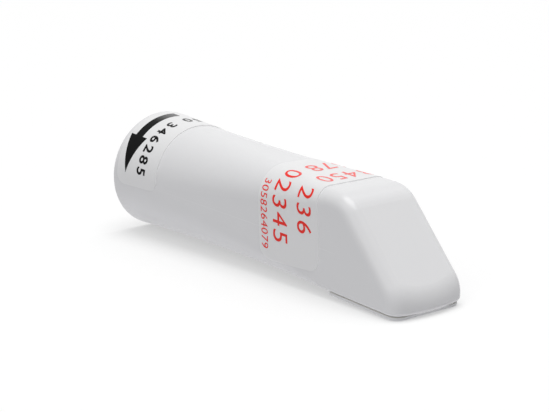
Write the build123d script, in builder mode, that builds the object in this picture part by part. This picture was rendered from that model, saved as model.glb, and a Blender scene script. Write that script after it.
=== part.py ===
"""Twist-off protective cap for the nose of a handheld optical scanner.

The axis of the round mouth is X: x = 0 is the plane of the mouth's rim and +X points to the head.
+Z is up, and the flat closing plate under the head faces down.
"""
import os
from math import radians, sqrt, tan

from build123d import *

# ---- driving dimensions, in millimetres and degrees ----

# body, from the round mouth to the start of the straight head
mouth_radius = 13.0
body_length = 66.5
wall = 1.5
rim_chamfer = 0.4

# head
head_half_width = 9.3
head_top = 11.6
head_bottom = 8.1
head_edge_radius = 2.8
rim_edge_radius = 1.1
face_angle = 45.0
face_setback = 5.0
crease_radius = 7.5
nose_height = 3.15
nose_radius = 6.0
nose_bow_radius = 30.0

# how fast the round mouth turns into the head, as powers of the way along the body
width_power = 1.45
top_power = 1.65
square_power = 2.3
mouth_squareness = 0.002
body_stations = 6

# core that hollows the body: a bore that rises to the head, with four flats
core_wall = 2.4
core_rise = 1.2
core_side_wall = 2.2

# window under the head, and the plate bonded over it
plate_setback = 1.3
plate_inset = 0.55
plate_thickness = 0.61
plate_rear_corner = 1.2
plate_edge_chamfer = 0.12
bond_thickness = 0.12
bond_inset = 0.12
window_inset = 2.2
window_margin = 2.0
window_corner = 2.0
spigot_height = 1.2
spigot_clearance = 0.15
spigot_wall = 1.2

# twist-lock ring in the mouth
ring_seat_wall = 1.7
ring_seat_depth = 10.8
ring_recess = 0.6
ring_wall = 1.3
ring_clearance = 0.03
ring_lead_in = 0.4
slot_count = 3
first_slot_angle = 60.0
slot_width = 2.4
slot_depth = 5.0
slot_turn = 38.0
detent_angle = 26.0
detent_length = 3.0
detent_gap = 1.9

# soft seal behind the ring
seal_width = 1.6
seal_standoff = 0.25
seal_clearance = 0.03
seal_lip_chamfer = 0.5

# printed film labels, turned a little from square to the axis
film_thickness = 0.12
arrow_label_start = 1.8
arrow_label_width = 13.3
arrow_label_low = -0.9
arrow_label_corner = 2.4
arrow_label_turn = 2.5
main_label_setback = 0.5
main_label_width = 17.2
main_label_low = -5.8
main_label_corner = 2.8
main_label_turn = 5.5

# ---- sizes that follow from them ----

smallest_radius = 0.5
face_top_x = body_length + face_setback
face_run = (head_top + head_bottom - nose_height) / tan(radians(face_angle))
nose_x = face_top_x + face_run
plate_start = body_length + plate_setback
core_radius = mouth_radius - core_wall
ring_seat_radius = mouth_radius - ring_seat_wall
ring_outer_radius = ring_seat_radius - ring_clearance
ring_bore_radius = ring_outer_radius - ring_wall
ring_length = ring_seat_depth - ring_recess
pocket_angle = detent_angle + detent_length
seal_start = ring_seat_depth
seal_bore_radius = ring_bore_radius - seal_standoff
cavity_start = seal_start + seal_width + 2 * seal_clearance
longest_crease = face_setback / tan(radians(face_angle) / 2)
crease_limit = min(crease_radius, 0.95 * longest_crease)
bow_half_width = head_half_width - head_edge_radius
rim_front_x = nose_x - nose_bow_radius + sqrt(nose_bow_radius**2 - bow_half_width**2)
plate_top_z = -head_bottom - bond_thickness
plate_bottom_z = plate_top_z - plate_thickness
plate_front_corner = head_edge_radius - plate_inset
bond_edge = plate_inset + bond_inset
bond_start = plate_start + bond_inset
bond_corner = head_edge_radius - bond_edge
window_start = plate_start + window_margin
spigot_inset = window_inset + spigot_clearance
spigot_start = window_start + spigot_clearance
spigot_corner = window_corner - spigot_clearance
main_label_start = body_length - main_label_setback - main_label_width


# ---- shapes that the pieces share ----


def body_sizes(x):
    """Half width, height above the axis and depth below it of the body at x."""
    rest = 1 - x / body_length
    half_width = head_half_width + (mouth_radius - head_half_width) * rest**width_power
    top = head_top + (mouth_radius - head_top) * rest**top_power
    bottom = head_bottom + (mouth_radius - head_bottom) * rest
    return half_width, top, bottom


def body_section(x, inset):
    """Cross-section of the body at x, drawn inset from its outer skin."""
    half_width, top, bottom = body_sizes(x)
    squareness = mouth_squareness + (1 - mouth_squareness) * (x / body_length) ** square_power
    full_round = min(half_width, (top + bottom) / 2)
    top_radius = full_round + (head_edge_radius - full_round) * squareness
    bottom_radius = full_round + (rim_edge_radius - full_round) * squareness
    with BuildSketch(Plane.YZ.offset(x)) as section:
        with Locations((0, (top - bottom) / 2)):
            Rectangle(2 * (half_width - inset), top + bottom - 2 * inset)
        fillet(section.vertices().group_by(Axis.Y)[-1], max(top_radius - inset, smallest_radius))
        fillet(section.vertices().group_by(Axis.Y)[0], max(bottom_radius - inset, smallest_radius))
    return section.sketch


def body_solid(inset):
    """The lofted body from the mouth to the head, inset from its outer skin."""
    step = body_length / body_stations
    with BuildPart() as body:
        loft([body_section(step * i, inset) for i in range(body_stations + 1)])
    return body.part


def body_core():
    """The hollow of the body: a plain bore with four flats that taper with the skin."""
    with BuildPart() as core:
        for x, side_wall in ((cavity_start, core_side_wall), (body_length, wall)):
            half_width, top, bottom = body_sizes(x)
            with BuildSketch(Plane.YZ.offset(x)):
                with Locations((0, (top - bottom) / 2)):
                    Rectangle(2 * (half_width - side_wall), top + bottom - 2 * side_wall)
        loft(ruled=True)
        with BuildSketch(Plane(origin=(0, 0, 0), z_dir=(body_length, 0, core_rise))):
            Circle(core_radius)
        extrude(amount=nose_x, mode=Mode.INTERSECT)
    return core.part


def head_solid(inset, rim_radius=0.0):
    """The straight head with its slanted face and its bowed, rounded nose, inset from its outer skin."""
    slope = radians(face_angle)
    top = head_top - inset
    face_top = face_top_x - inset * tan(slope / 2)
    # the block runs on below the rim, so that its upright edges can be rounded over their whole length
    base = -head_bottom - 3 * head_edge_radius
    face_foot = face_top + (top - base) / tan(slope)
    with BuildPart() as head:
        with BuildSketch(Plane.XZ):
            with BuildLine():
                FilletPolyline(
                    (body_length, top), (face_top, top), (face_foot, base), radius=crease_limit - inset
                )
                Polyline((face_foot, base), (body_length, base), (body_length, top))
            make_face()
        extrude(amount=head_half_width - inset, both=True)
        with Locations((nose_x - nose_bow_radius, 0, base)):
            Cylinder(
                radius=nose_bow_radius - inset,
                height=top - base,
                rotation=(0, 0, 180),
                align=(Align.CENTER, Align.CENTER, Align.MIN),
                mode=Mode.INTERSECT,
            )
        nose_edges = head.faces().sort_by(Axis.X)[-1].edges()
        side_edges = head.faces().filter_by(Axis.Y).edges()
        base_edges = head.faces().sort_by(Axis.Z)[0].edges()
        fillet(nose_edges - side_edges - base_edges, nose_radius - inset)
        side_edges = head.faces().filter_by(Axis.Y).edges()
        rear_edges = side_edges.group_by(Axis.X)[0]
        base_edges = side_edges.group_by(Axis.Z)[0]
        fillet(side_edges - rear_edges - base_edges, head_edge_radius - inset)
        split(bisect_by=Plane.XY.offset(inset - head_bottom), keep=Keep.TOP)
        if rim_radius:
            rim_edges = head.faces().sort_by(Axis.Z)[0].edges()
            fillet(rim_edges - rim_edges.group_by(Axis.X)[0], rim_radius)
    return head.part


def rim_outline(inset, rear, rear_corner, front_corner):
    """Outline seen from below the head, inset from the rim's outer edge."""
    length = rim_front_x - inset - rear
    with BuildSketch() as outline:
        with Locations((rear + length / 2, 0)):
            Rectangle(length, 2 * (head_half_width - inset))
        fillet(outline.vertices().group_by(Axis.X)[-1], front_corner)
        fillet(outline.vertices().group_by(Axis.X)[0], rear_corner)
    return outline.sketch


def label_solid(start, width, low, corner, turn):
    """A film that wraps over the body from one side, across the top, to the other."""
    with BuildPart() as label:
        add(body_solid(-film_thickness))
        add(body_solid(0), mode=Mode.SUBTRACT)
        with BuildSketch(Plane.XZ) as side_view:
            with Locations(Location((start + width / 2, low), turn)):
                Rectangle(width, 2 * mouth_radius, align=(Align.CENTER, Align.MIN))
            fillet(side_view.vertices().sort_by(Axis.Y)[:2], corner)
        extrude(amount=2 * mouth_radius, both=True, mode=Mode.INTERSECT)
    return label.part


# ---- cap shell: one hollow moulding, open at the mouth and under the head ----

with BuildPart() as cap_shell:
    add(body_solid(0))
    rim_edges = cap_shell.faces().sort_by(Axis.X)[0].edges()
    chamfer(rim_edges, rim_chamfer)
    add(head_solid(0, rim_edge_radius))
    add(body_core(), mode=Mode.SUBTRACT)
    add(head_solid(wall), mode=Mode.SUBTRACT)
    with BuildSketch(Plane.YZ):
        Circle(ring_seat_radius)
    extrude(amount=cavity_start, mode=Mode.SUBTRACT)
    with BuildSketch(Plane.XY.offset(-head_bottom)):
        add(rim_outline(window_inset, window_start, window_corner, window_corner))
    extrude(amount=2 * wall, mode=Mode.SUBTRACT)

# ---- closing plate: a flange under the rim, with a locating wall that stands in the window ----

with BuildPart() as closing_plate:
    with BuildSketch(Plane.XY.offset(plate_bottom_z)):
        add(rim_outline(plate_inset, plate_start, plate_rear_corner, plate_front_corner))
    extrude(amount=plate_thickness)
    chamfer(closing_plate.faces().sort_by(Axis.Z)[0].edges(), plate_edge_chamfer)
    with BuildSketch(Plane.XY.offset(plate_top_z)):
        add(rim_outline(spigot_inset, spigot_start, spigot_corner, spigot_corner))
        offset(amount=-spigot_wall, mode=Mode.SUBTRACT)
    extrude(amount=bond_thickness + spigot_height)

# ---- plate bond: the thin frame of dark adhesive between rim and plate ----

with BuildPart() as plate_bond:
    with BuildSketch(Plane.XY.offset(plate_top_z)):
        add(rim_outline(bond_edge, bond_start, plate_rear_corner, bond_corner))
        add(rim_outline(window_inset, window_start, window_corner, window_corner), mode=Mode.SUBTRACT)
    extrude(amount=bond_thickness)

# ---- lock ring: three J-shaped slots take the pins of the scanner's nose ----

with BuildPart() as lock_ring:
    with BuildSketch(Plane.XZ) as ring_profile:
        with Locations((ring_recess, ring_bore_radius)):
            Rectangle(ring_length, ring_wall, align=Align.MIN)
        inner_corners = ring_profile.vertices().group_by(Axis.Y)[0]
        chamfer(inner_corners.sort_by(Axis.X)[0], ring_lead_in)
    revolve(axis=Axis.X)
    for slot in range(slot_count):
        entry = first_slot_angle + slot * 360 / slot_count
        with BuildSketch(Plane.XY.rotated((entry, 0, 0))):
            with Locations((slot_depth / 2, 0)):
                Rectangle(slot_depth, slot_width)
        extrude(amount=mouth_radius, mode=Mode.SUBTRACT)
        # the turning leg runs to the detent, narrows to its throat, and opens to a pocket
        for leg_start, leg_end, leg_width in (
            (0, detent_angle, slot_width),
            (detent_angle, pocket_angle, detent_gap),
            (pocket_angle, slot_turn, slot_width),
        ):
            with BuildSketch(Plane.XZ.rotated((entry + leg_start, 0, 0))):
                with Locations((slot_depth, ring_bore_radius - ring_wall)):
                    Rectangle(leg_width, 3 * ring_wall, align=(Align.MAX, Align.MIN))
            revolve(axis=Axis.X, revolution_arc=leg_end - leg_start, mode=Mode.SUBTRACT)

# ---- seal ring: soft ring with a tapered lip, held between the lock ring and the shell ----

with BuildPart() as seal_ring:
    with BuildSketch(Plane.XZ) as seal_profile:
        with Locations((seal_start + seal_clearance, seal_bore_radius)):
            Rectangle(seal_width, ring_outer_radius - seal_bore_radius, align=Align.MIN)
        chamfer(seal_profile.vertices().group_by(Axis.Y)[0], seal_lip_chamfer)
    revolve(axis=Axis.X)

# ---- film labels ----

main_label = label_solid(
    main_label_start, main_label_width, main_label_low, main_label_corner, main_label_turn
)
arrow_label = label_solid(
    arrow_label_start, arrow_label_width, arrow_label_low, arrow_label_corner, arrow_label_turn
)

# ---- one STEP file for each piece ----

pieces = {
    "cap_shell": cap_shell.part,
    "closing_plate": closing_plate.part,
    "plate_bond": plate_bond.part,
    "lock_ring": lock_ring.part,
    "seal_ring": seal_ring.part,
    "main_label": main_label,
    "arrow_label": arrow_label,
}
os.makedirs("parts", exist_ok=True)
for name, piece in pieces.items():
    piece.label = name
    export_step(piece, f"parts/{name}.step")
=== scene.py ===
"""Protective cap for the nose of a handheld scanner: finishes, prints, seam and stage on the CAD frame."""
from bisect import bisect_left
from math import atan2, cos, pi, radians, sin, tan

import bpy
from bpy.props import FloatProperty, FloatVectorProperty, PointerProperty, StringProperty
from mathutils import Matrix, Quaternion, Vector


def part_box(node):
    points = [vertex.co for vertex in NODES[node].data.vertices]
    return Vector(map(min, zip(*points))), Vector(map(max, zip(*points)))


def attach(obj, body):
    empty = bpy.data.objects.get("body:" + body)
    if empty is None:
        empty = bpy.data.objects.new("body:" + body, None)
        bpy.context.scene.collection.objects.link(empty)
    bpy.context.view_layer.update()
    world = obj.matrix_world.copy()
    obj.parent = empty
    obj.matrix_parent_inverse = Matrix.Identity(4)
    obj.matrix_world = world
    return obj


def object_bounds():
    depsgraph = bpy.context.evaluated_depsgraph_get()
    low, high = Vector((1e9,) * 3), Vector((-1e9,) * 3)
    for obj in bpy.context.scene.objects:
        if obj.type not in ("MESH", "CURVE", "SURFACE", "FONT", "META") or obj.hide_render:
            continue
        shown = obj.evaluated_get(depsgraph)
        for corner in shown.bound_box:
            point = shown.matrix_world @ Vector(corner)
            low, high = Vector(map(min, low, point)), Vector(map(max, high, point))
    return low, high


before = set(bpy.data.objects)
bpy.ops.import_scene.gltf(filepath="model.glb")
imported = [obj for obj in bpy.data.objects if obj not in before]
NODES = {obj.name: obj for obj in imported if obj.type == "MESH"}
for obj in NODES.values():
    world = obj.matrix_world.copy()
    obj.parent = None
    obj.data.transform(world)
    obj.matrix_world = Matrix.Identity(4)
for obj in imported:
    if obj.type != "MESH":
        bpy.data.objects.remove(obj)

bl_info = {
    "name": "Scanner nose cap",
    "version": (1, 0, 0),
    "blender": (4, 5, 0),
    "location": "3D View > Sidebar > Nose cap",
    "description": "Finishes a moulded nose cap, prints its film labels and sets it on a studio floor",
    "category": "Object",
}

MM = 0.001
CAD_LOW, CAD_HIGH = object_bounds()
AXIS_ABOVE_FLOOR = -CAD_LOW.z  # the mouth's round rim rests on the floor

# Mouldings.
PLASTIC_IOR = 1.48
GRAIN_SIZE = 0.35 * MM
DRIFT_SIZE = 18 * MM  # of the slow drift of tone and gloss
ROUGHNESS_DRIFT = (0.96, 1.05)  # least and most roughness, as shares of the finish's own
PLATE_PAINTED_LIGHT = 1.06  # the plate is a moulding of its own and a little less glossy than the shell; its colour is the shell's, painted a little lighter as painted light on the plate
PLATE_ROUGHNESS = 1.1
SEAM_WIDTH = 0.12 * MM
SEAM_START = 2 * MM  # from the mouth
SEAM_END = 72 * MM
SEAM_FADE = 6 * MM  # length over which the parting line dies away at its end
SEAM_FAINTEST = 0.35  # its strength at the mouth
SEAM_PAINTED_HIGHLIGHT = 1.05  # painted highlight of the parting line, against the moulding's colour

# Films and inks.
CUT_EDGE_COSINES = (0.75, 0.4)  # to the way out from the axis: flat from the first on, cut edge from the second
GLARE_FACINGS = (0.55, 0.8)  # facing values between which an ink takes on its glare
FELT_DEGREES = range(-110, 125)  # places round the cap, from its top, at which a film is felt for
LEAN_LEVEL = 3 * MM  # height over the axis at which a leaning row stays in its place
STRIP_WIDTH = 0.4 * MM  # of the strips that let a flat print bend round a film
DIGIT_HEIGHT = 0.73  # of a digit, where the font's size is 1
DIGIT_CURVE_STEPS = 6

# The red rows: name, text, height of the digits, their spacing, where their feet stand along the axis, and the
# height over the axis at which the row ends.
RED_ROWS = (
    ("numbers_upper", "upper_row", 4.3 * MM, 1.18, 59.3 * MM, 1.8 * MM),
    ("numbers_lower", "lower_row", 4.4 * MM, 1.14, 52.15 * MM, -1.7 * MM),
    ("numbers_small", "small_row", 2.0 * MM, 1.06, 48.6 * MM, -4.0 * MM),
)

# The black row beside the arrow, and the arrow, whose places round the cap are angles from the top.
BLACK_ROW_HEIGHT = 2.8 * MM
BLACK_ROW_SPACING = 1.36
BLACK_ROW_BOLDNESS = 0.1 * MM
BLACK_ROW_FOOT = 8.35 * MM
BLACK_ROW_END = radians(80.5)
ARROW_MIDDLE = 4.5 * MM
ARROW_SHAFT_WIDTH = 2.4 * MM
ARROW_HEAD_WIDTH = 5.5 * MM
ARROW_TAIL, ARROW_BARBS, ARROW_TIP = radians(-5), radians(43.5), radians(82.5)

# Stage.
FLOOR_WIDTH = 1.6  # metres
FLOOR_GAP = 0.02 * MM  # keeps the floor just clear of the rim and the plate
FLOOR_SHADOW_OPEN = 0.86  # ambient occlusion over the floor from which the floor's painted shadow ends
FLOOR_WHITE = 1.005  # brightness of the floor far from the cap
CAMERA_TARGET = Vector((40.82 * MM, 0, 0.81 * MM))
CAMERA_SENSOR = 36  # width in millimetres
CAMERA_CLIP = 0.01  # metres from the camera at which its view starts


# ---- sizes and colours that a user would change ----


class MouldedPlastic(bpy.types.PropertyGroup):
    """Finish of the moulded white plastic."""

    colour: FloatVectorProperty(
        name="Colour",
        description="White of the moulding",
        subtype="COLOR",
        default=(0.80, 0.80, 0.81),
        min=0,
        max=1,
    )
    roughness: FloatProperty(
        name="Roughness", description="Satin gloss of the skin", default=0.26, min=0, max=1
    )
    grain_size: FloatProperty(
        name="Grain size",
        description="Width of one bump of the skin's grain",
        default=GRAIN_SIZE,
        unit="LENGTH",
    )
    grain_height: FloatProperty(
        name="Grain height", description="Depth of the skin's grain", default=0.0012 * MM, unit="LENGTH"
    )
    seam_width: FloatProperty(
        name="Parting line width",
        description="Width of the mould's parting line",
        default=SEAM_WIDTH,
        unit="LENGTH",
    )
    seam_height: FloatProperty(
        name="Parting line height",
        description="Height of the mould's parting line",
        default=0.008 * MM,
        unit="LENGTH",
    )
    seam_start: FloatProperty(
        name="Parting line start",
        description="Where the line starts to grow stronger, from the mouth",
        default=SEAM_START,
        unit="LENGTH",
    )
    seam_end: FloatProperty(
        name="Parting line end",
        description="Where the line ends, from the mouth",
        default=SEAM_END,
        unit="LENGTH",
    )


class LabelPrint(bpy.types.PropertyGroup):
    """Film labels and what is printed on them."""

    film: FloatVectorProperty(
        name="Film",
        description="Colour of the label film",
        subtype="COLOR",
        default=(0.83, 0.83, 0.835),
        min=0,
        max=1,
    )
    red: FloatVectorProperty(
        name="Red ink",
        description="Ink of the rows on the main label",
        subtype="COLOR",
        default=(0.93, 0.032, 0.022),
        min=0,
        max=1,
    )
    black: FloatVectorProperty(
        name="Black ink",
        description="Ink of the arrow and the row beside it",
        subtype="COLOR",
        default=(0.006, 0.006, 0.0065),
        min=0,
        max=1,
    )
    lift: FloatProperty(
        name="Ink lift", description="Height of the ink over the film", default=0.012 * MM, unit="LENGTH"
    )
    turn: FloatProperty(
        name="Label turn", description="How far the main label is turned", default=radians(5.5), subtype="ANGLE"
    )
    arrow_turn: FloatProperty(
        name="Arrow turn", description="How far the arrow is turned", default=radians(1), subtype="ANGLE"
    )
    upper_row: StringProperty(
        name="Upper row", description="Large numbers nearest the head", default="78903450 236"
    )
    lower_row: StringProperty(
        name="Lower row", description="Large numbers of the second row", default="2345678 02345"
    )
    small_row: StringProperty(
        name="Small row", description="Small numbers of the third row", default="3058264079"
    )
    arrow_row: StringProperty(
        name="Arrow row", description="Bold numbers beside the arrow", default="50 346285"
    )


class StudioView(bpy.types.PropertyGroup):
    """Camera and light of the studio."""

    azimuth: FloatProperty(
        name="Azimuth", description="Camera's turn round the cap", default=radians(50.05), subtype="ANGLE"
    )
    elevation: FloatProperty(
        name="Elevation", description="Camera's height over the cap", default=radians(16.15), subtype="ANGLE"
    )
    roll: FloatProperty(name="Roll", description="Camera's roll", default=radians(2.04), subtype="ANGLE")
    distance: FloatProperty(
        name="Distance", description="From the camera to its target", default=309.2 * MM, unit="LENGTH"
    )
    lens: FloatProperty(name="Lens", description="Focal length in millimetres", default=97.81, min=1)
    sky: FloatProperty(name="Sky", description="Strength of the even light", default=0.05, min=0)
    lamp_distance: FloatProperty(
        name="Lamp distance", description="From each softbox to the cap", default=6.0, unit="LENGTH"
    )
    lamp_width: FloatProperty(
        name="Lamp width", description="Width of each round softbox", default=4.8, unit="LENGTH"
    )
    side_elevation: FloatProperty(
        name="Side lamp elevation",
        description="Height of the front and back softboxes",
        default=radians(42),
        subtype="ANGLE",
    )
    top_light: FloatProperty(
        name="Top light",
        description="Light from overhead on a face turned to it, where white is 1",
        default=0.74,
        min=0,
    )
    front_light: FloatProperty(
        name="Front light", description="Light from the near side on a face turned to it", default=0.195, min=0
    )
    back_light: FloatProperty(
        name="Back light", description="Light from the far side on a face turned to it", default=0.107, min=0
    )
    floor_bounce: FloatVectorProperty(
        name="Floor bounce",
        description="Colour of the light that the floor throws back on the cap",
        subtype="COLOR",
        default=(0.28, 0.28, 0.295),
        min=0,
        max=1,
    )
    floor_glow: FloatProperty(
        name="Floor glow", description="Light that comes up through the floor", default=0.515, min=0
    )
    floor_shade: FloatProperty(
        name="Floor shade",
        description="How much of the floor's white the cap's shadow can take away",
        default=0.3,
        min=0,
        max=1,
    )
    # Painted shadow on the floor: its white glow fades by ambient occlusion close to the cap, out to the reach
    # below.
    floor_painted_shadow: FloatProperty(
        name="Floor hollow",
        description="How much the floor's own glow fades close to the cap",
        default=0.45,
        min=0,
        max=1,
    )
    floor_shadow_reach: FloatProperty(
        name="Floor reach",
        description="How far from the cap the floor's glow fades",
        default=60 * MM,
        unit="LENGTH",
    )


# ---- shader building ----


def add_node(tree, kind, values=(), **settings):
    """Adds a shader node, sets its options and the values of its input sockets."""
    node = tree.nodes.new(kind)
    for name, value in settings.items():
        setattr(node, name, value)
    for name, value in dict(values).items():
        node.inputs[name].default_value = value
    return node


def join(tree, *pairs):
    """Links each pair of an output and an input socket."""
    for output, target in pairs:
        tree.links.new(output, target)


def new_material(name):
    """A material with a Principled shader. Returns the material, its node tree and the shader."""
    material = bpy.data.materials.new(name)
    material.use_nodes = True
    tree = material.node_tree
    return material, tree, tree.nodes["Principled BSDF"]


def new_group(name, inputs, outputs):
    """A shader node group with float inputs and outputs. Returns its tree and its two end nodes."""
    tree = bpy.data.node_groups.new(name, "ShaderNodeTree")
    for socket, default in inputs.items():
        tree.interface.new_socket(socket, in_out="INPUT", socket_type="NodeSocketFloat").default_value = default
    for socket in outputs:
        tree.interface.new_socket(socket, in_out="OUTPUT", socket_type="NodeSocketFloat")
    return tree, tree.nodes.new("NodeGroupInput"), tree.nodes.new("NodeGroupOutput")


def blend_colours(tree, mask, under, over):
    """Goes from under, a colour or a socket, where the mask is 0, to the colour over, where it is 1."""
    mix = add_node(tree, "ShaderNodeMix", data_type="RGBA", blend_type="MIX")
    mix.inputs["B"].default_value = (*over, 1)
    join(tree, (mask, mix.inputs["Factor"]))
    if isinstance(under, bpy.types.NodeSocket):
        join(tree, (under, mix.inputs["A"]))
    else:
        mix.inputs["A"].default_value = (*under, 1)
    return mix.outputs["Result"]


def ease(tree, values):
    """Maps one range of values to another with a smooth start and end."""
    return add_node(tree, "ShaderNodeMapRange", values, interpolation_type="SMOOTHSTEP")


def grain_group():
    """Moulded grain: a fine bump height and a slow drift of tone, both from 0 to 1."""
    if "Moulded grain" in bpy.data.node_groups:
        return bpy.data.node_groups["Moulded grain"]
    tree, given, made = new_group(
        "Moulded grain", {"Size": GRAIN_SIZE, "Drift size": DRIFT_SIZE}, ("Height", "Drift")
    )
    place = add_node(tree, "ShaderNodeTexCoord")
    fine_scale = add_node(tree, "ShaderNodeMath", {0: 1.0}, operation="DIVIDE")
    slow_scale = add_node(tree, "ShaderNodeMath", {0: 1.0}, operation="DIVIDE")
    fine = add_node(tree, "ShaderNodeTexNoise", {"Detail": 2.0, "Roughness": 0.5})
    slow = add_node(tree, "ShaderNodeTexNoise", {"Detail": 3.0, "Roughness": 0.55})
    join(
        tree,
        (given.outputs["Size"], fine_scale.inputs[1]),
        (given.outputs["Drift size"], slow_scale.inputs[1]),
        (place.outputs["Object"], fine.inputs["Vector"]),
        (place.outputs["Object"], slow.inputs["Vector"]),
        (fine_scale.outputs[0], fine.inputs["Scale"]),
        (slow_scale.outputs[0], slow.inputs["Scale"]),
        (fine.outputs["Fac"], made.inputs["Height"]),
        (slow.outputs["Fac"], made.inputs["Drift"]),
    )
    return tree


def seam_group():
    """Parting line mask, for its bump and its painted highlight: a thin band level with the axis, which is
    faint at the mouth and dies away at its end.
    """
    if "Parting line" in bpy.data.node_groups:
        return bpy.data.node_groups["Parting line"]
    tree, given, made = new_group(
        "Parting line", {"Width": SEAM_WIDTH, "Start": SEAM_START, "End": SEAM_END}, ("Mask",)
    )
    place = add_node(tree, "ShaderNodeTexCoord")
    split = add_node(tree, "ShaderNodeSeparateXYZ")
    height = add_node(tree, "ShaderNodeMath", operation="ABSOLUTE")
    fade = add_node(tree, "ShaderNodeMath", {1: SEAM_FADE}, operation="SUBTRACT")
    band = ease(tree, {"To Min": 1.0, "To Max": 0.0})
    rise = ease(tree, {"To Min": SEAM_FAINTEST, "To Max": 1.0})
    fall = ease(tree, {"To Min": 1.0, "To Max": 0.0})
    ends = add_node(tree, "ShaderNodeMath", operation="MULTIPLY")
    line = add_node(tree, "ShaderNodeMath", operation="MULTIPLY")
    join(
        tree,
        (place.outputs["Object"], split.inputs[0]),
        (split.outputs["Z"], height.inputs[0]),
        (height.outputs[0], band.inputs["Value"]),
        (given.outputs["Width"], band.inputs["From Max"]),
        (given.outputs["End"], fade.inputs[0]),
        (split.outputs["X"], rise.inputs["Value"]),
        (given.outputs["Start"], rise.inputs["From Min"]),
        (given.outputs["End"], rise.inputs["From Max"]),
        (split.outputs["X"], fall.inputs["Value"]),
        (fade.outputs[0], fall.inputs["From Min"]),
        (given.outputs["End"], fall.inputs["From Max"]),
        (rise.outputs["Result"], ends.inputs[0]),
        (fall.outputs["Result"], ends.inputs[1]),
        (band.outputs["Result"], line.inputs[0]),
        (ends.outputs[0], line.inputs[1]),
        (line.outputs[0], made.inputs["Mask"]),
    )
    return tree


def film_edge_highlight_group():
    """Where a painted highlight goes: 1 on the thin cut edges of a film, which look along the cap, and 0 on its
    flat faces.
    """
    if "Film edge" in bpy.data.node_groups:
        return bpy.data.node_groups["Film edge"]
    tree, given, made = new_group("Film edge", {}, ("Mask",))
    place = add_node(tree, "ShaderNodeTexCoord")
    face = add_node(tree, "ShaderNodeNewGeometry")
    across = add_node(tree, "ShaderNodeVectorMath", {1: (0, 1, 1)}, operation="MULTIPLY")
    outward = add_node(tree, "ShaderNodeVectorMath", operation="NORMALIZE")
    turned = add_node(tree, "ShaderNodeVectorMath", operation="DOT_PRODUCT")
    flat, cut = CUT_EDGE_COSINES
    edge = ease(tree, {"From Min": flat, "From Max": cut})
    join(
        tree,
        (place.outputs["Object"], across.inputs[0]),
        (across.outputs["Vector"], outward.inputs[0]),
        (outward.outputs["Vector"], turned.inputs[0]),
        (face.outputs["Normal"], turned.inputs[1]),
        (turned.outputs["Value"], edge.inputs["Value"]),
        (edge.outputs["Result"], made.inputs["Mask"]),
    )
    return tree


def finish_surface(
    name,
    colour,
    roughness,
    grain_size,
    grain_height,
    tone_drift=0.008,
    gloss_level=0.40,
    glare=None,
    edge_highlight=False,
    seam=None,
):
    """A moulded or printed surface, whose tone and gloss drift a little and whose skin has a grain.

    Glare is the gloss level at a glancing view, where it differs. The edge flag paints the thin cut edges of a
    film white, a painted highlight standing in for light on those edges.
    Seam is the width, height, start and end of a parting line, which gets a bump and a painted highlight.
    """
    material, tree, shader = new_material(name)
    shader.inputs["Metallic"].default_value = 0.0
    shader.inputs["IOR"].default_value = PLASTIC_IOR
    shader.inputs["Specular IOR Level"].default_value = gloss_level
    grain = add_node(tree, "ShaderNodeGroup", {"Size": grain_size}, node_tree=grain_group())
    drift = grain.outputs["Drift"]
    least, most = (min(roughness * share, 1.0) for share in ROUGHNESS_DRIFT)
    gloss = add_node(tree, "ShaderNodeMapRange", {"To Min": least, "To Max": most})
    bump = add_node(tree, "ShaderNodeBump", {"Distance": grain_height, "Strength": 1.0})
    base = blend_colours(tree, drift, colour, [c * (1 - 2 * tone_drift) for c in colour])
    join(
        tree,
        (drift, gloss.inputs["Value"]),
        (grain.outputs["Height"], bump.inputs["Height"]),
        (gloss.outputs["Result"], shader.inputs["Roughness"]),
        (bump.outputs["Normal"], shader.inputs["Normal"]),
    )
    if glare is not None:
        turned = add_node(tree, "ShaderNodeLayerWeight", {"Blend": 0.5})
        plain, full = GLARE_FACINGS
        rising = ease(tree, {"From Min": plain, "From Max": full, "To Min": gloss_level, "To Max": glare})
        join(
            tree,
            (turned.outputs["Facing"], rising.inputs["Value"]),
            (rising.outputs["Result"], shader.inputs["Specular IOR Level"]),
        )
    # Painted highlight: the film's thin cut edges are painted white.
    if edge_highlight:
        edge = add_node(tree, "ShaderNodeGroup", node_tree=film_edge_highlight_group())
        base = blend_colours(tree, edge.outputs["Mask"], base, (1, 1, 1))
    if seam:
        width, height, start, end = seam
        line = add_node(
            tree, "ShaderNodeGroup", {"Width": width, "Start": start, "End": end}, node_tree=seam_group()
        )
        ridge = add_node(tree, "ShaderNodeBump", {"Distance": height, "Strength": 1.0})
        join(
            tree,
            (line.outputs["Mask"], ridge.inputs["Height"]),
            (ridge.outputs["Normal"], bump.inputs["Normal"]),
        )
        # The parting line's colour is painted lighter: a painted highlight for its ridge catching the light.
        lighter = [min(c * SEAM_PAINTED_HIGHLIGHT, 1.0) for c in colour]
        base = blend_colours(tree, line.outputs["Mask"], base, lighter)
    join(tree, (base, shader.inputs["Base Color"]))
    return material


def ink_finish(name, colour, tone_drift, gloss_level):
    """An ink, made once. It is dull seen straight on and takes on a full glare at a glancing view."""
    if name in bpy.data.materials:
        return bpy.data.materials[name]
    return finish_surface(
        name,
        colour,
        roughness=0.3,
        grain_size=0.15 * MM,
        grain_height=0.001 * MM,
        tone_drift=tone_drift,
        gloss_level=gloss_level,
        glare=1.0,
    )


def red_ink(ink):
    """The ink of the rows on the main label."""
    return ink_finish("Red ink", ink.red, tone_drift=0.03, gloss_level=0.15)


def black_ink(ink):
    """The ink of the arrow and the row beside it."""
    return ink_finish("Black ink", ink.black, tone_drift=0.1, gloss_level=0.04)


def dress(node, material):
    """Gives a CAD node its material."""
    NODES[node].data.materials.clear()
    NODES[node].data.materials.append(material)


# ---- shapes laid on the films ----


def select_only(piece):
    """Selects one object and makes it active."""
    bpy.ops.object.select_all(action="DESELECT")
    piece.select_set(True)
    bpy.context.view_layer.objects.active = piece


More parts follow.
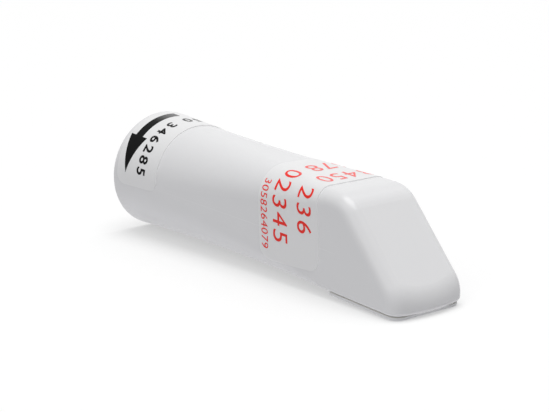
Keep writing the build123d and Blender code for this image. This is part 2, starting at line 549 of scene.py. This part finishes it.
def slice_across(piece, spacing):
    """Cuts a flat piece across its length into strips, so that it can bend."""
    select_only(piece)
    left = min(v.co.x for v in piece.data.vertices)
    right = max(v.co.x for v in piece.data.vertices)
    bpy.ops.object.mode_set(mode="EDIT")
    for i in range(1, int((right - left) / spacing) + 1):
        bpy.ops.mesh.select_all(action="SELECT")
        bpy.ops.mesh.bisect(plane_co=(left + i * spacing, 0, 0), plane_no=(1, 0, 0))
    bpy.ops.object.mode_set(mode="OBJECT")


class FilmSection:
    """The outer line of a film round the cap at one place along the axis.

    Angles are measured from the top of the cap, and ways along the film from there. Both are positive on the
    side that the arrow points to.
    """

    def __init__(self, film, x):
        self.film = film
        self.angles, points = [], []
        for degree in FELT_DEGREES:
            angle = degree * radians(1)
            hit = self.touch(x, angle)
            if hit:
                self.angles.append(angle)
                points.append(hit[0])
        self.heights = [point.z for point in points]
        self.ways = [0.0]
        for a, b in zip(points, points[1:]):
            self.ways.append(self.ways[-1] + (b - a).length)
        top = self.way_at_angle(0.0)
        self.ways = [way - top for way in self.ways]

    def touch(self, x, angle):
        """Where a line from outside to the axis meets the film, and the way out from the film there."""
        outward = Vector((0, -sin(angle), cos(angle)))
        far = 2 * AXIS_ABOVE_FLOOR
        hit, place, normal, _ = self.film.ray_cast(Vector((x, 0, 0)) + far * outward, -outward, distance=far)
        return (place, normal) if hit else None

    def way_at_angle(self, angle):
        """The way round the film to an angle."""
        return self.between(self.angles, self.ways, angle)

    def angle_at_way(self, way):
        """The angle that a way round the film leads to."""
        return self.between(self.ways, self.angles, way)

    @staticmethod
    def between(known, wanted, value):
        """The wanted number that goes with a value of the known ones, read between its two neighbours."""
        i = min(max(bisect_left(known, value), 1), len(known) - 1)
        part = (value - known[i - 1]) / (known[i] - known[i - 1])
        return wanted[i - 1] + part * (wanted[i] - wanted[i - 1])

    def way_at_height(self, z):
        """The way at which the film's near side comes down to height z."""
        for way, height in zip(self.ways, self.heights):
            if way > 0 and height <= z:
                return way
        raise ValueError(f"the film does not come down to {z}")

    def lay(self, piece, x, lean, lift):
        """Lays a flat piece on the film: its X runs round the cap and its Y runs along the axis from x."""
        for vertex in piece.data.vertices:
            angle = self.angle_at_way(vertex.co.x)
            along = x + vertex.co.y
            hit = self.touch(along, angle)
            if hit and lean:
                hit = self.touch(along - tan(lean) * (hit[0].z - LEAN_LEVEL), angle)
            if not hit:
                raise ValueError(f"{piece.name} runs off the film")
            vertex.co = hit[0] + lift * hit[1]


def ink_piece(piece, thickness, material):
    """Gives the laid ink its thickness and material, and lets it ride on the cap."""
    select_only(piece)
    solid = piece.modifiers.new("Ink", "SOLIDIFY")
    solid.thickness = thickness
    solid.offset = 1.0
    bpy.ops.object.modifier_apply(modifier=solid.name)
    piece.data.materials.clear()
    piece.data.materials.append(material)
    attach(piece, "root")


def number_row(name, text, height, spacing, film, foot, end, lean, lift, material, boldness=0.0):
    """Prints a row of numbers round a film.

    The feet of the numbers stand at foot along the axis, and their tops point to the head. The row ends at way
    end.
    """
    bpy.ops.object.select_all(action="DESELECT")
    bpy.ops.object.text_add()
    row = bpy.context.object
    row.name = row.data.name = name
    row.data.body = text
    row.data.size = height / DIGIT_HEIGHT
    row.data.space_character = spacing
    row.data.offset = boldness
    row.data.resolution_u = DIGIT_CURVE_STEPS
    bpy.ops.object.convert(target="MESH")
    row = bpy.context.object
    right = max(v.co.x for v in row.data.vertices)
    for vertex in row.data.vertices:
        vertex.co.x += end - right
    slice_across(row, STRIP_WIDTH)
    FilmSection(film, foot + height / 2).lay(row, foot, lean, lift)
    ink_piece(row, lift, material)


def direction(azimuth, elevation):
    """The way from the cap at an azimuth, counted from its near side, and an elevation."""
    return Vector((sin(azimuth) * cos(elevation), -cos(azimuth) * cos(elevation), sin(elevation)))


# ---- operators ----


class CAP_OT_mould(bpy.types.Operator):
    """Finish the shell and its closing plate as moulded white plastic"""

    bl_idname = "nose_cap.mould"
    bl_label = "Finish the mouldings"

    def execute(self, context):
        plastic = context.scene.cap_plastic
        shell = finish_surface(
            "White moulded shell",
            plastic.colour,
            plastic.roughness,
            plastic.grain_size,
            plastic.grain_height,
            seam=(plastic.seam_width, plastic.seam_height, plastic.seam_start, plastic.seam_end),
        )
        plate = finish_surface(
            "White moulded plate",
            # The plate's colour is painted a little lighter than the shell's: painted light.
            [c * PLATE_PAINTED_LIGHT for c in plastic.colour],
            plastic.roughness * PLATE_ROUGHNESS,
            plastic.grain_size,
            plastic.grain_height,
        )
        dress("cap_shell", shell)
        dress("closing_plate", plate)
        return {"FINISHED"}


class CAP_OT_bond(bpy.types.Operator):
    """Finish the cured adhesive between the shell's rim and the plate"""

    bl_idname = "nose_cap.bond"
    bl_label = "Finish the bond"

    def execute(self, context):
        adhesive = finish_surface(
            "Cured adhesive",
            # The adhesive's warm tint is its own. It is painted lighter than the shell, painted light that
            # lifts the shade in the gap between rim and plate.
            colour=(0.90, 0.88, 0.81),
            roughness=0.55,
            grain_size=0.5 * MM,
            grain_height=0.01 * MM,
            tone_drift=0.15,
        )
        dress("plate_bond", adhesive)
        return {"FINISHED"}


class CAP_OT_mouth(bpy.types.Operator):
    """Finish the lock ring and the soft seal in the mouth"""

    bl_idname = "nose_cap.mouth"
    bl_label = "Finish the mouth"

    def execute(self, context):
        grey = finish_surface(
            "Grey lock ring",
            colour=(0.60, 0.61, 0.63),
            roughness=0.5,
            grain_size=0.25 * MM,
            grain_height=0.003 * MM,
            tone_drift=0.04,
        )
        rubber = finish_surface(
            "Soft black seal",
            colour=(0.025, 0.025, 0.027),
            roughness=0.72,
            grain_size=0.2 * MM,
            grain_height=0.004 * MM,
            tone_drift=0.1,
        )
        dress("lock_ring", grey)
        dress("seal_ring", rubber)
        return {"FINISHED"}


class CAP_OT_films(bpy.types.Operator):
    """Finish the two label films"""

    bl_idname = "nose_cap.films"
    bl_label = "Finish the films"

    def execute(self, context):
        film = finish_surface(
            "Label film",
            context.scene.cap_print.film,
            roughness=0.3,
            grain_size=0.6 * MM,
            grain_height=0.0008 * MM,
            # The cut edges of both films get a painted highlight.
            edge_highlight=True,
        )
        dress("main_label", film)
        dress("arrow_label", film)
        return {"FINISHED"}


class CAP_OT_numbers(bpy.types.Operator):
    """Print the red numbers on the main label and the black ones beside the arrow"""

    bl_idname = "nose_cap.numbers"
    bl_label = "Print the numbers"

    def execute(self, context):
        ink = context.scene.cap_print
        red, black = red_ink(ink), black_ink(ink)
        film = NODES["main_label"]
        for name, row, height, spacing, foot, low in RED_ROWS:
            number_row(
                name,
                getattr(ink, row),
                height=height,
                spacing=spacing,
                film=film,
                foot=foot,
                end=FilmSection(film, foot + height / 2).way_at_height(low),
                lean=ink.turn,
                lift=ink.lift,
                material=red,
            )
        film = NODES["arrow_label"]
        number_row(
            "numbers_arrow",
            ink.arrow_row,
            height=BLACK_ROW_HEIGHT,
            spacing=BLACK_ROW_SPACING,
            film=film,
            foot=BLACK_ROW_FOOT,
            end=FilmSection(film, BLACK_ROW_FOOT + BLACK_ROW_HEIGHT / 2).way_at_angle(BLACK_ROW_END),
            lean=ink.arrow_turn,
            lift=ink.lift,
            material=black,
            boldness=BLACK_ROW_BOLDNESS,
        )
        return {"FINISHED"}


class CAP_OT_arrow(bpy.types.Operator):
    """Print the turning arrow by the mouth"""

    bl_idname = "nose_cap.arrow"
    bl_label = "Print the arrow"

    def execute(self, context):
        ink = context.scene.cap_print
        section = FilmSection(NODES["arrow_label"], ARROW_MIDDLE)
        tail, barbs, tip = (section.way_at_angle(angle) for angle in (ARROW_TAIL, ARROW_BARBS, ARROW_TIP))
        middle = (barbs + tail) / 2
        bpy.ops.object.select_all(action="DESELECT")
        bpy.ops.mesh.primitive_plane_add(size=1)
        arrow = bpy.context.object
        arrow.name = arrow.data.name = "turn_arrow"
        bpy.ops.object.mode_set(mode="EDIT")
        bpy.ops.mesh.select_all(action="SELECT")
        bpy.ops.transform.resize(value=(barbs - tail, ARROW_SHAFT_WIDTH, 1))
        bpy.ops.transform.translate(value=(middle, 0, 0))
        bpy.ops.mesh.select_all(action="DESELECT")
        bpy.ops.object.mode_set(mode="OBJECT")
        corners = arrow.data.vertices
        for corner in corners:
            corner.select = corner.co.x > middle
        for edge in arrow.data.edges:
            edge.select = all(corners[i].select for i in edge.vertices)
        bpy.ops.object.mode_set(mode="EDIT")
        bpy.ops.mesh.select_mode(type="EDGE")
        bpy.ops.mesh.extrude_region_move()
        bpy.ops.transform.resize(value=(1, ARROW_HEAD_WIDTH / ARROW_SHAFT_WIDTH, 1))
        bpy.ops.mesh.extrude_region_move(TRANSFORM_OT_translate={"value": (tip - barbs, 0, 0)})
        bpy.ops.mesh.merge(type="CENTER")
        bpy.ops.mesh.select_all(action="SELECT")
        bpy.ops.mesh.dissolve_degenerate(threshold=1e-7)
        bpy.ops.object.mode_set(mode="OBJECT")
        slice_across(arrow, STRIP_WIDTH)
        section.lay(arrow, ARROW_MIDDLE, ink.arrow_turn, ink.lift)
        ink_piece(arrow, ink.lift, black_ink(ink))
        return {"FINISHED"}


class CAP_OT_stage(bpy.types.Operator):
    """Set the cap on a pale studio floor with soft light and a camera"""

    bl_idname = "nose_cap.stage"
    bl_label = "Set the stage"

    def execute(self, context):
        studio = context.scene.cap_studio
        self.floor(studio)
        self.world(context, studio)
        self.lamps(studio)
        self.camera(context, studio)
        context.scene.view_settings.view_transform = "Standard"
        return {"FINISHED"}

    def floor(self, studio):
        """The cap rests on the lowest point of its mouth and on its plate, so the floor leans a little.

        To the camera it is white paper that shows the cap's shadow, and a painted shadow, read from ambient
        occlusion, darkens it close to the cap.
        To the cap it is a pale surface that light comes up through. From below it is clear.
        """
        plate_low, plate_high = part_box("closing_plate")
        lean = atan2(plate_low.z + AXIS_ABOVE_FLOOR, plate_high.x)
        bpy.ops.object.select_all(action="DESELECT")
        bpy.ops.mesh.primitive_plane_add(
            size=FLOOR_WIDTH, location=(0, 0, -AXIS_ABOVE_FLOOR - FLOOR_GAP), rotation=(0, -lean, 0)
        )
        floor = bpy.context.object
        floor.name = floor.data.name = "studio_floor"
        bpy.ops.object.transform_apply(location=True, rotation=True, scale=True)
        material, tree, shader = new_material("Studio floor")
        shader.inputs["Base Color"].default_value = (*studio.floor_bounce, 1)
        shader.inputs["Roughness"].default_value = 0.9
        shader.inputs["Specular IOR Level"].default_value = 0.1
        shader.inputs["Emission Color"].default_value = (1, 1, 1, 1)
        shader.inputs["Emission Strength"].default_value = studio.floor_glow
        out = tree.nodes["Material Output"]
        path = add_node(tree, "ShaderNodeLightPath")
        face = add_node(tree, "ShaderNodeNewGeometry")
        shown = add_node(tree, "ShaderNodeBsdfDiffuse", {"Color": (*[studio.floor_shade] * 3, 1)})
        full = FLOOR_WHITE - studio.floor_shade * self.daylight(studio)
        # Painted shadow: ambient occlusion darkens the floor's white glow close to the cap, down to the hollow
        # level.
        hollow = full * (1 - studio.floor_painted_shadow)
        near = add_node(tree, "ShaderNodeAmbientOcclusion", {"Distance": studio.floor_shadow_reach}, samples=16)
        open_air = add_node(
            tree, "ShaderNodeMapRange", {"From Max": FLOOR_SHADOW_OPEN, "To Min": hollow, "To Max": full}
        )
        glow = add_node(tree, "ShaderNodeEmission")
        white = add_node(tree, "ShaderNodeAddShader")
        pick = add_node(tree, "ShaderNodeMixShader")
        clear = add_node(tree, "ShaderNodeBsdfTransparent")
        sides = add_node(tree, "ShaderNodeMixShader")
        join(
            tree,
            (near.outputs["AO"], open_air.inputs["Value"]),
            (open_air.outputs["Result"], glow.inputs["Strength"]),
            (shown.outputs[0], white.inputs[0]),
            (glow.outputs[0], white.inputs[1]),
            (path.outputs["Is Camera Ray"], pick.inputs["Fac"]),
            (shader.outputs[0], pick.inputs[1]),
            (white.outputs[0], pick.inputs[2]),
            (face.outputs["Backfacing"], sides.inputs["Fac"]),
            (pick.outputs[0], sides.inputs[1]),
            (clear.outputs[0], sides.inputs[2]),
            (sides.outputs[0], out.inputs["Surface"]),
        )
        floor.data.materials.append(material)

    def world(self, context, studio):
        """An even light on the cap, behind which the camera, gloss and clear things see white."""
        world = bpy.data.worlds.new("Studio")
        context.scene.world = world
        world.use_nodes = True
        tree = world.node_tree
        even = tree.nodes["Background"]
        even.inputs["Color"].default_value = (1, 1, 1, 1)
        even.inputs["Strength"].default_value = studio.sky
        white = add_node(tree, "ShaderNodeBackground", {"Color": (1, 1, 1, 1), "Strength": 1.0})
        path = add_node(tree, "ShaderNodeLightPath")
        sharp = add_node(tree, "ShaderNodeMath", operation="MAXIMUM")
        clear = add_node(tree, "ShaderNodeMath", operation="MAXIMUM")
        mix = add_node(tree, "ShaderNodeMixShader")
        join(
            tree,
            (path.outputs["Is Camera Ray"], sharp.inputs[0]),
            (path.outputs["Is Glossy Ray"], sharp.inputs[1]),
            (sharp.outputs[0], clear.inputs[0]),
            (path.outputs["Is Transmission Ray"], clear.inputs[1]),
            (clear.outputs[0], mix.inputs["Fac"]),
            (even.outputs[0], mix.inputs[1]),
            (white.outputs[0], mix.inputs[2]),
            (mix.outputs[0], tree.nodes["World Output"].inputs["Surface"]),
        )

    def softboxes(self, studio):
        """Name, light, azimuth and elevation of each softbox."""
        return (
            ("softbox_top", studio.top_light, 0.0, radians(90)),
            ("softbox_front", studio.front_light, 0.0, studio.side_elevation),
            ("softbox_back", studio.back_light, radians(180), studio.side_elevation),
        )

    def daylight(self, studio):
        """Light on the open floor, where white paper under an even sky of 1 gets 1."""
        return studio.sky + sum(light * sin(high) for _, light, _, high in self.softboxes(studio))

    def lamps(self, studio):
        """Round softboxes, each as strong as its light on a face turned to it asks for."""
        middle = (CAD_LOW + CAD_HIGH) / 2
        radius = studio.lamp_width / 2
        for name, light, azimuth, high in self.softboxes(studio):
            way = direction(azimuth, high)
            bpy.ops.object.select_all(action="DESELECT")
            bpy.ops.object.light_add(
                type="AREA",
                location=middle + studio.lamp_distance * way,
                rotation=way.to_track_quat("Z", "Y").to_euler(),
            )
            lamp = bpy.context.object
            lamp.name = name
            lamp.data.shape = "DISK"
            lamp.data.size = studio.lamp_width
            lamp.data.energy = light * pi * pi * (radius**2 + studio.lamp_distance**2)

    def camera(self, context, studio):
        """A camera that looks at a point on the cap, a little above its axis."""
        back = direction(studio.azimuth, studio.elevation)
        bpy.ops.object.camera_add(location=CAMERA_TARGET + studio.distance * back)
        camera = bpy.context.object
        camera.name = "studio_camera"
        camera.data.sensor_width = CAMERA_SENSOR
        camera.data.lens = studio.lens
        camera.data.clip_start = CAMERA_CLIP
        camera.rotation_mode = "QUATERNION"
        camera.rotation_quaternion = (-back).to_track_quat("-Z", "Y") @ Quaternion((0, 0, 1), studio.roll)
        context.scene.camera = camera


class CAP_PT_sidebar(bpy.types.Panel):
    """Lists the steps that build the cap"""

    bl_label = "Nose cap"
    bl_space_type = "VIEW_3D"
    bl_region_type = "UI"
    bl_category = "Nose cap"

    def draw(self, context):
        for step in STEPS:
            self.layout.operator(step.bl_idname)


GROUPS = {"cap_plastic": MouldedPlastic, "cap_print": LabelPrint, "cap_studio": StudioView}
STEPS = (
    CAP_OT_mould,
    CAP_OT_bond,
    CAP_OT_mouth,
    CAP_OT_films,
    CAP_OT_numbers,
    CAP_OT_arrow,
    CAP_OT_stage,
)
CLASSES = (*GROUPS.values(), *STEPS, CAP_PT_sidebar)


def register():
    for cls in CLASSES:
        bpy.utils.register_class(cls)
    for name, group in GROUPS.items():
        setattr(bpy.types.Scene, name, PointerProperty(type=group))


def unregister():
    for name in GROUPS:
        delattr(bpy.types.Scene, name)
    for cls in reversed(CLASSES):
        bpy.utils.unregister_class(cls)


def main():
    """Builds the cap from first step to last."""
    register()
    bpy.context.view_layer.update()
    for step in STEPS:
        area, action = step.bl_idname.split(".")
        getattr(getattr(bpy.ops, area), action)()


if __name__ == "__main__":
    main()
